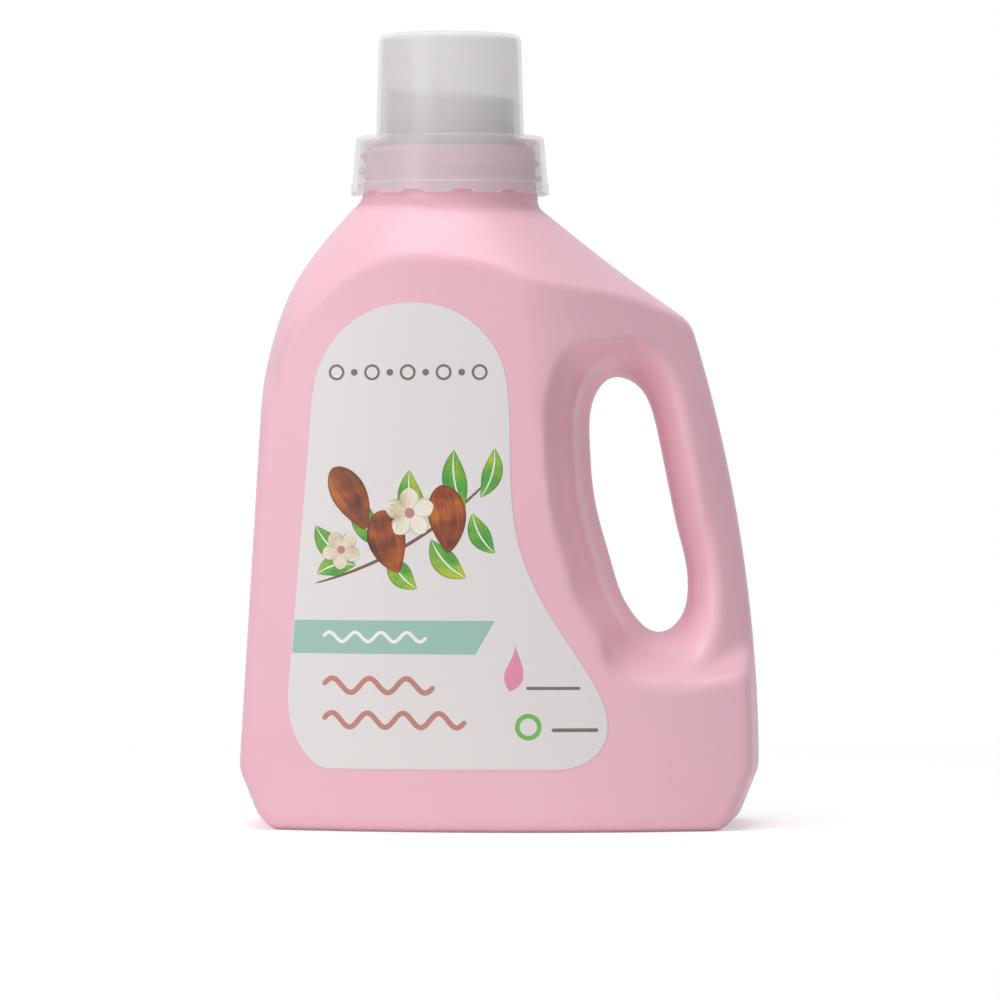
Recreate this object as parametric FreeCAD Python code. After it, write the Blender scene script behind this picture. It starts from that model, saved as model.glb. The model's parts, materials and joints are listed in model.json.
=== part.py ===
import FreeCAD, Part
import math
import os

# Laundry detergent bottle of about two litres, in millimetres. X runs to the handle side, the front label
# faces -Y and Z is up. The origin is the middle of the base.

V = FreeCAD.Vector

# Bottle body: side outline, as seen from the front
KNEE_HALF_WIDTH = 85.4
KNEE_HEIGHT = 19.6
HEEL_STEP = 6.1
HEEL_HALF_WIDTH = KNEE_HALF_WIDTH - HEEL_STEP
HEEL_HEIGHT = 4.6
HEEL_WALL_LIFT = 0.6
BASE_STEP = 4.8
BASE_HALF_WIDTH = HEEL_HALF_WIDTH - BASE_STEP
HANDLE_SIDE_RADIUS = 487.0
HANDLE_CORNER_HEIGHT = 165.9
HANDLE_CORNER_ROUND = 3.5
PLAIN_SIDE_LEAN = 0.0606
PLAIN_SIDE_TOP = 140.0

# Shoulder: share of the way from the neck's axis to the side, height in the mid plane and fall to the panels
SHOULDER_TOP = 218.6
SHOULDER_TOP_DROP = 0.0165
HANDLE_SHOULDER = ((0.8086, 176.6, 0.0080), (0.5227, 193.9, 0.0110), (0.2582, 210.0, 0.0138))
PLAIN_SHOULDER = ((0.2975, 212.6, 0.0153), (0.5544, 196.4, 0.0139), (0.7591, 176.3, 0.0158))
SHOULDER_HIP = (0.8592, 156.5)
CORNER_DROP = 0.0060
HIP_DROP = 0.0140
HIP_CROWN = 0.0032
PLAIN_SIDE_DROP = 0.0120
SIDE_CROWN = 0.0023

# Front and back panels
BODY_HALF_DEPTH = 45.0
PANEL_BOW_RADIUS = 220.4
BAND_OVERRUN = 4.0
BAND_LOW_OVERRUN = 3.0
PANEL_OVERRUN = 8.0

# Grip: the panels curve back to the handle above a shelf
GRIP_START_X = 8.0
GRIP_START_HEIGHT = 165.0
GRIP_START_SPREAD = 0.0031
GRIP_START_RISE = 0.25
GRIP_CURVE_POWER = 1.6
GRIP_TIP_OVERRUN = 3.0
GRIP_CUT_OVERRUN = 10.0
GRIP_CUT_MARGIN = 2.0
SHELF_EDGE_DEPTH = 38.0
SHELF_EDGE_HEIGHT = 47.0
SHELF_ROOT_DEPTH = 12.0
SHELF_ROOT_HEIGHT = 59.0

# Finger hole: outline at the parting plane, clockwise from the top
HOLE_OUTLINE = ((39.6, 147.8), (47.0, 143.4), (51.6, 131.0), (55.3, 112.9), (59.4, 94.0), (61.7, 75.5),
                (54.3, 63.3), (44.6, 69.0), (37.0, 86.1), (31.3, 107.9), (29.7, 127.7), (32.0, 142.8))
HOLE_SIDES = 20
HOLE_ROWS = (0.16, 0.36, 0.64, 1.0)
HOLE_OVERRUN = 3.0
HOLE_EDGE_MARGIN = 0.5
HOLE_FLARE_LIMIT = 45.0
# Flare of the hole by compass angle: width at the panel and power of the curve
HOLE_FLARE = ((-180.0, 11.2, 1.35), (-135.0, 10.5, 1.4), (-90.0, 15.5, 1.7), (-50.0, 19.0, 1.9),
              (-15.0, 10.5, 2.8), (20.0, 10.5, 2.8), (55.0, 14.0, 2.2), (90.0, 11.6, 1.6),
              (135.0, 12.4, 1.4), (180.0, 11.2, 1.35))

# Wall, edges and base
WALL = 1.3
EDGE_ROUND = 4.0
CREASE_ROUND = 1.6
CREASE_START_X = -30.0
CREASE_BLEND_LENGTH = 70.0
CREASE_LOW_HEIGHT = 140.0
BASE_PUSH_UP = 2.4
BASE_PUSH_UP_TAPER = 3.0
BASE_RIM_WIDTH = 13.0
CUT_MARGIN = 1.0

# Neck and its finish
NECK_AXIS_X = -16.5
NECK_RADIUS = 29.0
NECK_COLLAR_TOP = 210.0
NECK_CORE_RADIUS = 28.2
NECK_BORE_RADIUS = 26.0
NECK_TOP = 224.0
NECK_COLLAR_CHAMFER = 0.8
NECK_LIP_CHAMFER = 0.5
NECK_ROOT_DEPTH = 34.0
BORE_ROOT_DEPTH = 28.0

# Pour spout insert
SPOUT_WALL = 1.3
SPOUT_FLANGE = 1.8
SPOUT_FIT = 0.1
SPOUT_SEAT_DEPTH = 12.0
SPOUT_TUBE_RADIUS = 21.5
SPOUT_TUBE_TAPER = 0.4
SPOUT_TUBE_HEIGHT = 31.3
SPOUT_LIP_ROLL = 0.6
SPOUT_LIP_HEIGHT = 1.4
SPOUT_LIP_FALL = 4.0
DRAIN_SLOT_WIDTH = 6.0
DRAIN_SLOT_HEIGHT = 18.0

# Dosing cap
CUP_WALL = 1.2
CUP_HEIGHT = 34.5
CUP_TOP_RADIUS = 23.5
CUP_CORNER_ROUND = 3.0
CUP_CROWN = 0.9
CUP_CROWN_FLAT = 4.0
CUP_CROWN_BEND = 13.0
CUP_CROWN_BEND_FALL = 0.35
CAP_DECK = 1.5
CAP_SEAL_DEPTH = 5.0
CAP_SEAL_CLEARANCE = 0.2
SKIRT_HEIGHT = 19.5
SKIRT_TOP_RADIUS = 31.0
SKIRT_FOOT_RADIUS = 32.2
SKIRT_WALL = 1.5
SKIRT_SHOULDER_ROUND = 1.8
RIM_HEIGHT = 3.6
RIM_PROUD = 0.5
RIM_TABS = 12
RIM_SLOT_HEIGHT = 1.0
RIM_SLOT_WIDTH = 7.1
RIM_SLOT_REACH = 4.0
RIM_FIRST_SLOT = 10.7

# Front label
LABEL_FILM = 0.15
LABEL_GLUE = 0.12
LABEL_CUT_MARGIN = 5.0
LABEL_FOOT_HEIGHT = 20.6
LABEL_FOOT_LEFT = -53.5
LABEL_FOOT_RIGHT = 20.5
LABEL_LEFT_LOW = (-66.3, 56.0)
LABEL_LEFT_HIGH = (-60.2, 127.0)
LABEL_LEFT_CORNER = ((-62.4, 26.6), (-66.8, 38.0))
LABEL_CROWN_CURVE = ((-57.0, 150.5), (-50.5, 161.3), (-38.6, 169.4), (-26.4, 171.6), (-14.0, 169.4),
                     (-4.0, 162.8), (2.6, 153.0), (5.2, 138.0), (5.6, 120.0), (8.8, 91.6), (15.5, 75.5),
                     (26.7, 57.6), (35.0, 43.2), (36.5, 30.6), (31.2, 23.6))


def smooth_step(value):
    value = min(max(value, 0.0), 1.0)
    return value * value * (3.0 - 2.0 * value)


def handle_side_x(z):
    """Handle side of the mid plane outline: one arc, upright at the knee."""
    rise = z - KNEE_HEIGHT
    return KNEE_HALF_WIDTH - HANDLE_SIDE_RADIUS + math.sqrt(HANDLE_SIDE_RADIUS ** 2 - rise ** 2)


def plain_side_x(z):
    """Plain side of the mid plane outline: straight, leaning inwards from the knee."""
    return -KNEE_HALF_WIDTH + PLAIN_SIDE_LEAN * (z - KNEE_HEIGHT)


def shoulder_stations():
    """Stations of the shoulder in the mid plane, from the handle side over the neck to the plain side."""
    handle_way = handle_side_x(HANDLE_CORNER_HEIGHT) - NECK_AXIS_X
    plain_way = -KNEE_HALF_WIDTH - NECK_AXIS_X
    stations = [(NECK_AXIS_X + share * handle_way, z, drop) for share, z, drop in HANDLE_SHOULDER]
    stations.append((NECK_AXIS_X, SHOULDER_TOP, SHOULDER_TOP_DROP))
    stations.extend((NECK_AXIS_X + share * plain_way, z, drop) for share, z, drop in PLAIN_SHOULDER)
    return stations


def bow_depth(x):
    """Half depth of the body at the bowed panels."""
    return BODY_HALF_DEPTH - PANEL_BOW_RADIUS + math.sqrt(PANEL_BOW_RADIUS ** 2 - x * x)


def grip_start_x(z):
    return GRIP_START_X + GRIP_START_SPREAD * max(GRIP_START_HEIGHT - z, 0.0) ** 2


def grip_depth(x, z):
    """Half depth of the body where it curves back to the handle, from just off the panel."""
    start = grip_start_x(z)
    tip = handle_side_x(z) + GRIP_TIP_OVERRUN
    share = min(max((x - start) / (tip - start), 0.0), 1.0)
    return (bow_depth(x) + GRIP_START_RISE) * (1.0 - share ** GRIP_CURVE_POWER) ** (1.0 / GRIP_CURVE_POWER)


def shelf_depth(z):
    """Half depth of the shelf under the grip at a height."""
    share = (z - SHELF_EDGE_HEIGHT) / (SHELF_ROOT_HEIGHT - SHELF_EDGE_HEIGHT)
    return SHELF_EDGE_DEPTH + share * (SHELF_ROOT_DEPTH - SHELF_EDGE_DEPTH)


def curve_through(points, start=None, end=None, knots=None):
    """Smooth curve through points; sections of one loft share their knots, which keeps its surface plain."""
    options = {"Points": points}
    if start is not None:
        options["InitialTangent"] = start
        options["FinalTangent"] = end
    if knots is not None:
        options["Parameters"] = knots
    curve = Part.BSplineCurve()
    curve.interpolate(**options)
    return curve.toShape()


def running_lengths(points):
    """Length along a row of points up to each of them."""
    lengths = [0.0]
    for before, after in zip(points, points[1:]):
        lengths.append(lengths[-1] + before.distanceToPoint(after))
    return lengths


def polygon(points):
    return Part.makePolygon(points + points[:1])


def prism(wire, way):
    return Part.Face(wire).extrude(way)


def mirrored(shape):
    return shape.mirror(V(0.0, 0.0, 0.0), V(0.0, 1.0, 0.0))


def handle_corner(y, inset):
    """Corner between the handle side and the shoulder, before it is rounded."""
    z = HANDLE_CORNER_HEIGHT - inset - CORNER_DROP * y * y
    return V(handle_side_x(z) - inset - SIDE_CROWN * y * y, y, z)


def shoulder_points(y, inset):
    """Points of the shoulder in a plane at y, from the handle corner to the top of the plain side."""
    stations = [V(x, y, z - inset - drop * y * y) for x, z, drop in shoulder_stations()]
    corner = handle_corner(y, inset)
    beside = corner + (stations[0] - corner).normalize() * HANDLE_CORNER_ROUND
    hip_share, hip_z = SHOULDER_HIP
    hip_x = NECK_AXIS_X - hip_share * (KNEE_HALF_WIDTH + NECK_AXIS_X)
    hip = V(hip_x + inset + HIP_CROWN * y * y, y, hip_z - HIP_DROP * y * y)
    side_z = PLAIN_SIDE_TOP - PLAIN_SIDE_DROP * y * y
    side = V(plain_side_x(side_z) + inset + SIDE_CROWN * y * y, y, side_z)
    return [beside] + stations + [hip, side]


def side_outline(y, inset):
    """Closed outline of the body in a plane at y, for the wall at the given inset."""
    crown = inset + SIDE_CROWN * y * y
    heel_z = HEEL_HEIGHT + inset * HEEL_WALL_LIFT
    low_z = inset - BAND_LOW_OVERRUN
    low_half = HEEL_HALF_WIDTH - BASE_STEP * (heel_z - low_z) / (heel_z - inset) - crown
    corner = handle_corner(y, inset)
    below_z = corner.z - HANDLE_CORNER_ROUND
    below = V(handle_side_x(below_z) - crown, y, below_z)
    shoulder = shoulder_points(y, inset)
    slope = (shoulder[0] - corner).normalize()
    side_way = V(-PLAIN_SIDE_LEAN, 0.0, -1.0).normalize()
    knee_r = V(KNEE_HALF_WIDTH - crown, y, KNEE_HEIGHT)
    middle_z = (KNEE_HEIGHT + below_z) / 2.0
    middle_r = V(handle_side_x(middle_z) - crown, y, middle_z)
    heel_r = V(HEEL_HALF_WIDTH - crown, y, heel_z)
    low_r = V(low_half, y, low_z)
    low_l = V(-low_half, y, low_z)
    heel_l = V(-HEEL_HALF_WIDTH + crown, y, heel_z)
    knee_l = V(-KNEE_HALF_WIDTH + crown, y, KNEE_HEIGHT)
    corner_curve = Part.BezierCurve()
    corner_curve.setPoles([below, corner, shoulder[0]])
    return Part.Wire([
        Part.makeLine(low_l, low_r),
        Part.makeLine(low_r, heel_r),
        Part.makeLine(heel_r, knee_r),
        Part.Arc(knee_r, middle_r, below).toShape(),
        corner_curve.toShape(),
        curve_through(shoulder, slope, side_way, running_lengths(shoulder_points(0.0, 0.0))),
        Part.makeLine(shoulder[-1], knee_l),
        Part.makeLine(knee_l, heel_l),
        Part.makeLine(heel_l, low_l),
    ])


def band_solid(inset):
    """Everything inside the edge band that runs round the bottle between its two panels."""
    reach = BODY_HALF_DEPTH + BAND_OVERRUN
    return Part.makeLoft([side_outline(y, inset) for y in (-reach, 0.0, reach)], True)


def panel_solid(inset):
    """Everything between the two bowed panels, from the flat base up."""
    side = KNEE_HALF_WIDTH + PANEL_OVERRUN
    depth = bow_depth(side) - inset
    middle = BODY_HALF_DEPTH - inset
    low = inset
    corners = [V(-side, -depth, low), V(side, -depth, low), V(side, depth, low), V(-side, depth, low)]
    outline = Part.Wire([
        Part.Arc(corners[0], V(0.0, -middle, low), corners[1]).toShape(),
        Part.makeLine(corners[1], corners[2]),
        Part.Arc(corners[2], V(0.0, middle, low), corners[3]).toShape(),
        Part.makeLine(corners[3], corners[0]),
    ])
    return prism(outline, V(0.0, 0.0, SHOULDER_TOP + PANEL_OVERRUN))


def grip_section(z, inset):
    """Horizontal section of what is taken away in front of the grip."""
    start = grip_start_x(z)
    tip = handle_side_x(z) + GRIP_TIP_OVERRUN
    shares = (0.0, 0.12, 0.25, 0.4, 0.55, 0.7, 0.82, 0.91, 0.97)
    stations = [start + (tip - start) * share for share in shares]
    curve = [V(x - inset, -grip_depth(x, z) + inset, z) for x in stations]
    far = BODY_HALF_DEPTH + GRIP_CUT_OVERRUN
    near_right = V(tip + GRIP_CUT_OVERRUN, curve[-1].y, z)
    far_right = V(near_right.x, -far, z)
    far_left = V(curve[0].x - GRIP_CUT_MARGIN, -far, z)
    return Part.Wire([
        curve_through(curve, knots=list(shares)),
        Part.makeLine(curve[-1], near_right),
        Part.makeLine(near_right, far_right),
        Part.makeLine(far_right, far_left),
        Part.makeLine(far_left, curve[0]),
    ])


def grip_relief(inset):
    """What is taken away in front of the grip, down to the shelf."""
    low = SHELF_EDGE_HEIGHT - GRIP_CUT_OVERRUN
    high = SHOULDER_TOP + GRIP_CUT_OVERRUN
    levels = [low + (high - low) * share for share in (0.0, 0.12, 0.25, 0.4, 0.55, 0.7, 0.85, 1.0)]
    relief = Part.makeLoft([grip_section(z, inset) for z in levels], True)
    side = BODY_HALF_DEPTH + 2.0 * GRIP_CUT_OVERRUN
    far = KNEE_HALF_WIDTH + 4.0 * GRIP_CUT_OVERRUN
    bottom = low - GRIP_CUT_MARGIN
    shelf = prism(polygon([
        V(-far, -side, bottom),
        V(-far, -side, SHELF_EDGE_HEIGHT - inset),
        V(-far, -SHELF_EDGE_DEPTH, SHELF_EDGE_HEIGHT - inset),
        V(-far, -SHELF_ROOT_DEPTH, SHELF_ROOT_HEIGHT - inset),
        V(-far, 0.0, SHELF_ROOT_HEIGHT - inset),
        V(-far, 0.0, bottom),
    ]), V(2.0 * far, 0.0, 0.0))
    return relief.cut(shelf)


def flare_at(angle):
    """Width and power of the flare for one compass angle, blended between the named directions."""
    for (low, width_low, power_low), (high, width_high, power_high) in zip(HOLE_FLARE, HOLE_FLARE[1:]):
        if low <= angle <= high:
            share = smooth_step((angle - low) / (high - low))
            width = width_low + share * (width_high - width_low)
            power = power_low + share * (power_high - power_low)
            return width, power
    return HOLE_FLARE[0][1], HOLE_FLARE[0][2]


def hole_solid(inset):
    """The finger hole, flared from the parting plane to both panels, in straight steps inside the wall."""
    edge = Part.BSplineCurve()
    edge.interpolate(Points=[V(x, 0.0, z) for x, z in HOLE_OUTLINE], PeriodicFlag=True)
    first = edge.FirstParameter
    last = edge.LastParameter
    stations = []
    for index in range(HOLE_SIDES):
        place = first + (last - first) * index / HOLE_SIDES
        point = edge.value(place)
        tangent = edge.tangent(place)[0]
        outwards = V(-tangent.z, 0.0, tangent.x)
        angle = math.degrees(math.atan2(outwards.z, outwards.x))
        width, power = flare_at(angle)
        recess = point + outwards * width
        depth = max(grip_depth(recess.x, recess.z), shelf_depth(recess.z))
        depth = min(depth, bow_depth(recess.x)) + HOLE_EDGE_MARGIN
        stations.append((point, outwards, width, power, depth))
    reach = BODY_HALF_DEPTH + HOLE_OVERRUN
    knots = running_lengths([station[0] for station in stations + stations[:1]])
    rows = []
    for share in [-value for value in reversed(HOLE_ROWS)] + [0.0] + list(HOLE_ROWS):
        y = reach * share
        ring = []
        for point, outwards, width, power, depth in stations:
            offset = min(width * (abs(y) / depth) ** power, HOLE_FLARE_LIMIT) + inset
            ring.append(V(point.x, y, point.z) + outwards * offset)
        curve = Part.BSplineCurve()
        curve.interpolate(Points=ring, PeriodicFlag=True, Parameters=knots)
        rows.append(Part.Wire([curve.toShape()]))
    stepped = inset > 0.0
    return Part.makeLoft(rows, True, stepped)


def edge_round_at(point):
    """Rounding of the panels' edges: full all round, and tightening along the shoulder to the handle."""
    if point.z < CREASE_LOW_HEIGHT:
        return EDGE_ROUND
    share = smooth_step((point.x - CREASE_START_X) / CREASE_BLEND_LENGTH)
    return EDGE_ROUND + share * (CREASE_ROUND - EDGE_ROUND)


def rounded_block(inset):
    """Edge band and panels brought together, with the edges between them rounded."""
    block = band_solid(inset).common(panel_solid(inset)).Solids[0]
    panels = [face for face in block.Faces if abs(face.CenterOfMass.y) > BODY_HALF_DEPTH / 2.0]
    seams = [edge for face in panels for edge in face.OuterWire.Edges]
    document = FreeCAD.newDocument("Rounding")
    base = document.addObject("Part::Feature", "Block")
    base.Shape = block
    rounding = document.addObject("Part::Fillet", "Rounded")
    rounding.Base = base
    radii = []
    for number, edge in enumerate(block.Edges, start=1):
        if any(edge.isSame(seam) for seam in seams):
            first = edge_round_at(edge.Vertexes[0].Point) - inset
            last = edge_round_at(edge.Vertexes[-1].Point) - inset
            radii.append((number, first, last))
    rounding.Edges = radii
    document.recompute()
    rounded = rounding.Shape.copy()
    FreeCAD.closeDocument(document.Name)
    return rounded


def base_outline(z, inset):
    """Outline of the push-up in the base at a height, following the panels."""
    half_length = BASE_HALF_WIDTH - BASE_RIM_WIDTH - inset
    middle = BODY_HALF_DEPTH - BASE_RIM_WIDTH - inset
    end = bow_depth(half_length) - BASE_RIM_WIDTH - inset
    corners = [V(-half_length, -end, z), V(half_length, -end, z),
               V(half_length, end, z), V(-half_length, end, z)]
    return Part.Wire([
        Part.Arc(corners[0], V(0.0, -middle, z), corners[1]).toShape(),
        Part.makeLine(corners[1], corners[2]),
        Part.Arc(corners[2], V(0.0, middle, z), corners[3]).toShape(),
        Part.makeLine(corners[3], corners[0]),
    ])


def push_up(wall):
    """The raised middle of the base, as seen from below, or from inside with the wall on it."""
    low = base_outline(wall - CUT_MARGIN, -wall)
    high = base_outline(wall + BASE_PUSH_UP, BASE_PUSH_UP_TAPER - wall)
    return Part.makeLoft([low, high], True)


def body_form(inset):
    """Body with its hollow handle, solid through, for the wall at the given inset."""
    relief = grip_relief(inset)
    body = rounded_block(inset).cut(relief)
    body = body.cut(mirrored(relief))
    body = body.cut(hole_solid(inset))
    return body.cut(push_up(inset))


def turned(points):
    """Solid of revolution about the neck's axis from radius and height pairs."""
    outline = polygon([V(NECK_AXIS_X + radius, 0.0, z) for radius, z in points])
    return Part.Face(outline).revolve(V(NECK_AXIS_X, 0.0, 0.0), V(0.0, 0.0, 1.0), 360.0)


def bottle():
    """Blow-moulded bottle: body, hollow handle and neck in one."""
    root = NECK_TOP - NECK_ROOT_DEPTH
    neck = turned([
        (0.0, root),
        (NECK_RADIUS, root),
        (NECK_RADIUS, NECK_COLLAR_TOP - NECK_COLLAR_CHAMFER),
        (NECK_CORE_RADIUS, NECK_COLLAR_TOP),
        (NECK_CORE_RADIUS, NECK_TOP - NECK_LIP_CHAMFER),
        (NECK_CORE_RADIUS - NECK_LIP_CHAMFER, NECK_TOP),
        (0.0, NECK_TOP),
    ])
    bore = turned([
        (0.0, NECK_TOP - BORE_ROOT_DEPTH),
        (NECK_BORE_RADIUS, NECK_TOP - BORE_ROOT_DEPTH),
        (NECK_BORE_RADIUS, NECK_TOP + CUT_MARGIN),
        (0.0, NECK_TOP + CUT_MARGIN),
    ])
    outside = body_form(0.0).fuse(neck)
    return outside.cut(body_form(WALL)).cut(bore)


def pour_spout():
    """Spout pressed into the neck: flange, drain-back trough and pouring tube."""
    outer = NECK_BORE_RADIUS - SPOUT_FIT
    inner = outer - SPOUT_WALL
    floor = NECK_TOP - SPOUT_SEAT_DEPTH
    top = floor + SPOUT_TUBE_HEIGHT
    tip = SPOUT_TUBE_RADIUS - SPOUT_TUBE_TAPER
    spout = turned([
        (SPOUT_TUBE_RADIUS - SPOUT_WALL, floor),
        (outer, floor),
        (outer, NECK_TOP),
        (NECK_CORE_RADIUS, NECK_TOP),
        (NECK_CORE_RADIUS, NECK_TOP + SPOUT_FLANGE),
        (inner, NECK_TOP + SPOUT_FLANGE),
        (inner, floor + SPOUT_WALL),
        (SPOUT_TUBE_RADIUS, floor + SPOUT_WALL),
        (tip, top - SPOUT_LIP_HEIGHT),
        (tip + SPOUT_LIP_ROLL, top),
        (tip - SPOUT_WALL, top),
    ])
    reach = SPOUT_TUBE_RADIUS + SPOUT_WALL + CUT_MARGIN
    slot = Part.makeBox(reach, DRAIN_SLOT_WIDTH, DRAIN_SLOT_HEIGHT,
                        V(NECK_AXIS_X, -DRAIN_SLOT_WIDTH / 2.0, floor + SPOUT_WALL))
    fall = prism(polygon([
        V(NECK_AXIS_X - reach, -reach, top),
        V(NECK_AXIS_X + reach, -reach, top - SPOUT_LIP_FALL),
        V(NECK_AXIS_X + reach, -reach, top + CUT_MARGIN),
        V(NECK_AXIS_X - reach, -reach, top + CUT_MARGIN),
    ]), V(0.0, 2.0 * reach, 0.0))
    tube_slot = slot.common(turned([
        (SPOUT_TUBE_RADIUS - 2.0 * SPOUT_WALL, floor),
        (SPOUT_TUBE_RADIUS + SPOUT_WALL, floor),
        (SPOUT_TUBE_RADIUS + SPOUT_WALL, top),
        (SPOUT_TUBE_RADIUS - 2.0 * SPOUT_WALL, top),
    ]))
    return spout.cut(tube_slot).cut(fall)


def dosing_cap():
    """Screw cap whose raised middle is the measuring cup when it is turned over."""
    seat = NECK_TOP + SPOUT_FLANGE
    deck = seat + CAP_DECK
    crown = deck + CUP_HEIGHT
    foot = deck - SKIRT_HEIGHT
    cup_foot = NECK_BORE_RADIUS - SPOUT_FIT - SPOUT_WALL - CAP_SEAL_CLEARANCE
    shoulder = CUP_CORNER_ROUND * (1.0 - math.sqrt(0.5))
    edge = crown - CUP_CROWN
    inner_corner = CUP_CORNER_ROUND - CUP_WALL
    inner_top = CUP_TOP_RADIUS - CUP_WALL
    inner_edge = edge - CUP_WALL
    rim = foot + RIM_HEIGHT
    bevel = SKIRT_SHOULDER_ROUND * (1.0 - math.sqrt(0.5))

    def at(radius, z):
        return V(NECK_AXIS_X + radius, 0.0, z)

    def arc(a, b, c):
        return Part.Arc(a, b, c).toShape()

    def line(a, b):
        return Part.makeLine(a, b)

    crown_radius = CUP_TOP_RADIUS - CUP_CORNER_ROUND
    outline = [
        line(at(0.0, crown), at(CUP_CROWN_FLAT, crown)),
        line(at(CUP_CROWN_FLAT, crown), at(CUP_CROWN_BEND, crown - CUP_CROWN_BEND_FALL)),
        line(at(CUP_CROWN_BEND, crown - CUP_CROWN_BEND_FALL), at(crown_radius, edge)),
        arc(at(crown_radius, edge), at(CUP_TOP_RADIUS - shoulder, edge - shoulder),
            at(CUP_TOP_RADIUS, edge - CUP_CORNER_ROUND)),
        line(at(CUP_TOP_RADIUS, edge - CUP_CORNER_ROUND), at(cup_foot, deck)),
        line(at(cup_foot, deck), at(SKIRT_TOP_RADIUS - SKIRT_SHOULDER_ROUND, deck)),
        arc(at(SKIRT_TOP_RADIUS - SKIRT_SHOULDER_ROUND, deck), at(SKIRT_TOP_RADIUS - bevel, deck - bevel),
            at(SKIRT_TOP_RADIUS, deck - SKIRT_SHOULDER_ROUND)),
        line(at(SKIRT_TOP_RADIUS, deck - SKIRT_SHOULDER_ROUND), at(SKIRT_FOOT_RADIUS, rim + RIM_PROUD)),
        line(at(SKIRT_FOOT_RADIUS, rim + RIM_PROUD), at(SKIRT_FOOT_RADIUS + RIM_PROUD, rim)),
        line(at(SKIRT_FOOT_RADIUS + RIM_PROUD, rim), at(SKIRT_FOOT_RADIUS + RIM_PROUD, foot)),
        line(at(SKIRT_FOOT_RADIUS + RIM_PROUD, foot), at(SKIRT_FOOT_RADIUS - SKIRT_WALL, foot)),
        line(at(SKIRT_FOOT_RADIUS - SKIRT_WALL, foot), at(SKIRT_TOP_RADIUS - SKIRT_WALL, seat)),
        line(at(SKIRT_TOP_RADIUS - SKIRT_WALL, seat), at(cup_foot, seat)),
        line(at(cup_foot, seat), at(cup_foot, seat - CAP_SEAL_DEPTH)),
        line(at(cup_foot, seat - CAP_SEAL_DEPTH), at(cup_foot - CUP_WALL, seat - CAP_SEAL_DEPTH)),
        line(at(cup_foot - CUP_WALL, seat - CAP_SEAL_DEPTH), at(cup_foot - CUP_WALL, deck)),
        line(at(cup_foot - CUP_WALL, deck), at(inner_top, inner_edge - inner_corner)),
        line(at(inner_top, inner_edge - inner_corner), at(inner_top - inner_corner, inner_edge)),
        line(at(inner_top - inner_corner, inner_edge), at(CUP_CROWN_FLAT, crown - CUP_WALL)),
        line(at(CUP_CROWN_FLAT, crown - CUP_WALL), at(0.0, crown - CUP_WALL)),
        line(at(0.0, crown - CUP_WALL), at(0.0, crown)),
    ]
    cap = Part.Face(Part.Wire(outline)).revolve(V(NECK_AXIS_X, 0.0, 0.0), V(0.0, 0.0, 1.0), 360.0)
    reach = SKIRT_FOOT_RADIUS + RIM_SLOT_REACH
    slots = []
    for index in range(RIM_TABS):
        slot = Part.makeBox(RIM_SLOT_WIDTH, 2.0 * RIM_SLOT_REACH, RIM_SLOT_HEIGHT + CUT_MARGIN,
                            V(NECK_AXIS_X - RIM_SLOT_WIDTH / 2.0, -reach, foot - CUT_MARGIN))
        turn = RIM_FIRST_SLOT + 360.0 / RIM_TABS * index
        slot.rotate(V(NECK_AXIS_X, 0.0, 0.0), V(0.0, 0.0, 1.0), turn)
        slots.append(slot)
    return cap.cut(Part.makeCompound(slots))


def label_outline():
    """Die-cut outline of the label, flat in the XZ plane."""
    y = -BODY_HALF_DEPTH - LABEL_CUT_MARGIN

    def at(pair):
        return V(pair[0], y, pair[1])

    foot_left = at((LABEL_FOOT_LEFT, LABEL_FOOT_HEIGHT))
    foot_right = at((LABEL_FOOT_RIGHT, LABEL_FOOT_HEIGHT))
    left_low = at(LABEL_LEFT_LOW)
    left_high = at(LABEL_LEFT_HIGH)
    side_way = (left_high - left_low).normalize()
    foot_way = V(-1.0, 0.0, 0.0)
    corner = [foot_left] + [at(pair) for pair in LABEL_LEFT_CORNER] + [left_low]
    sweep = [left_high] + [at(pair) for pair in LABEL_CROWN_CURVE] + [foot_right]
    return Part.Wire([
        Part.makeLine(foot_right, foot_left),
        curve_through(corner, foot_way, side_way),
        Part.makeLine(left_low, left_high),
        curve_through(sweep, side_way, foot_way),
    ])


def front_label():
    """Thin film label lying on the bowed front panel."""
    side = KNEE_HALF_WIDTH
    low = LABEL_FOOT_HEIGHT - LABEL_CUT_MARGIN

    def arc(depth):
        ends = bow_depth(side) + depth
        middle = V(0.0, -BODY_HALF_DEPTH - depth, low)
        return Part.Arc(V(-side, -ends, low), middle, V(side, -ends, low)).toShape()

    under = arc(LABEL_GLUE)
    over = arc(LABEL_GLUE + LABEL_FILM)
    left = Part.makeLine(under.Vertexes[0].Point, over.Vertexes[0].Point)
    right = Part.makeLine(under.Vertexes[1].Point, over.Vertexes[1].Point)
    film = Part.Face(Part.Wire(Part.__sortEdges__([under, right, over, left])))
    film = film.extrude(V(0.0, 0.0, NECK_TOP))
    return film.common(prism(label_outline(), V(0.0, BODY_HALF_DEPTH, 0.0)))


def main():
    os.makedirs("parts", exist_ok=True)
    nodes = {
        "bottle": bottle(),
        "pour_spout": pour_spout(),
        "dosing_cap": dosing_cap(),
        "front_label": front_label(),
    }
    for name, shape in nodes.items():
        solid = shape.Solids[0]
        solid.exportStep(os.path.join("parts", name + ".step"))
        box = solid.BoundBox
        print(name, len(shape.Solids), solid.isValid(), round(solid.Volume, 1), "mm3",
              [round(value, 2) for value in (box.XMin, box.XMax, box.YMin, box.YMax, box.ZMin, box.ZMax)])


main()
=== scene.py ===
"""Looks of a two-litre laundry detergent bottle: pink body, film label, pour spout and dosing cap.

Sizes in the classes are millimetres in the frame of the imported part; meshes are written in metres.
"""

import json
import logging
import math
from collections.abc import Sequence
from dataclasses import dataclass
from enum import Enum

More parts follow.
